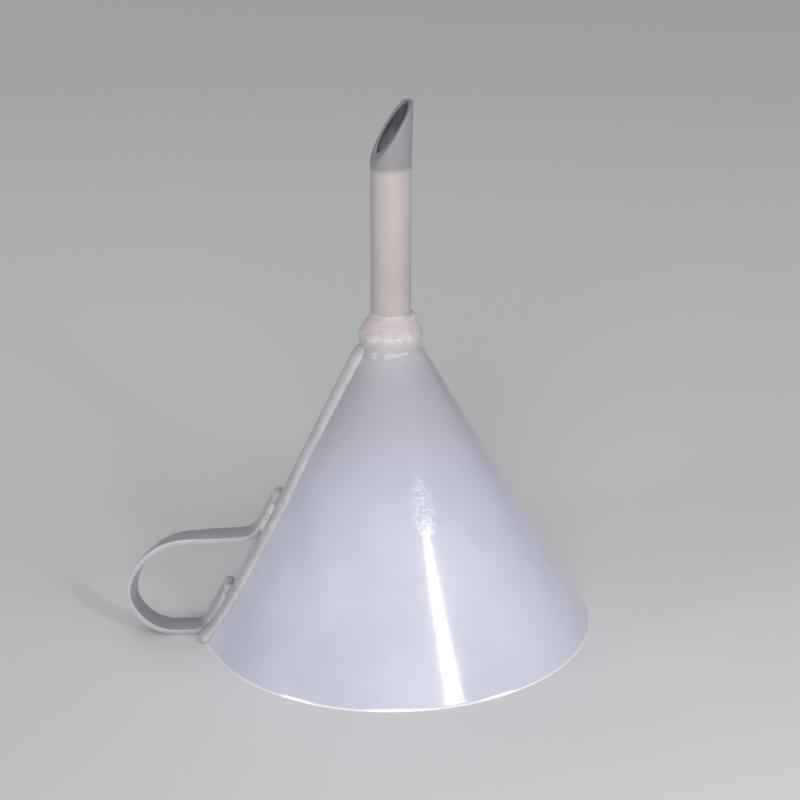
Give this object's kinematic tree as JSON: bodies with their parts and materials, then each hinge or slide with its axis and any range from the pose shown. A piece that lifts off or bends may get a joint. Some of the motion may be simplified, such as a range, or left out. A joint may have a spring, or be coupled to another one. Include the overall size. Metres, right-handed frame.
{
  "type": "wide-mouth funnel",
  "caption": "Welded translucent plastic wide-mouth funnel with a strap handle and an oblique stem outlet, standing on its mouth with the stem up.",
  "frame": {"origin": "centre of the mouth, on the plane that the rim rests on", "axes": "+Z along the cone's axis from the mouth towards the stem; the handle stands out along -X"},
  "size_m": [0.2999, 0.25, 0.3371],
  "materials": {
    "sheet": "glossy translucent natural sheet",
    "pipe": "satin translucent natural pipe",
    "liner": "warm white pipe",
    "strap": "satin translucent natural strip",
    "weld": "glossy melted weld, faintly pink"
  },
  "bodies": {
    "root": {"cone": "sheet", "seam_weld_bead": "weld", "stem_tube": "pipe", "stem_liner": "liner", "neck_weld_lower_bead": "weld", "neck_weld_upper_bead": "weld", "handle_strap": "strap", "upper_tail_near_weld": "weld", "upper_tail_far_weld": "weld", "upper_tail_end_weld": "weld", "lower_tail_near_weld": "weld", "lower_tail_far_weld": "weld", "lower_tail_end_weld": "weld"}
  },
  "joints": []
}
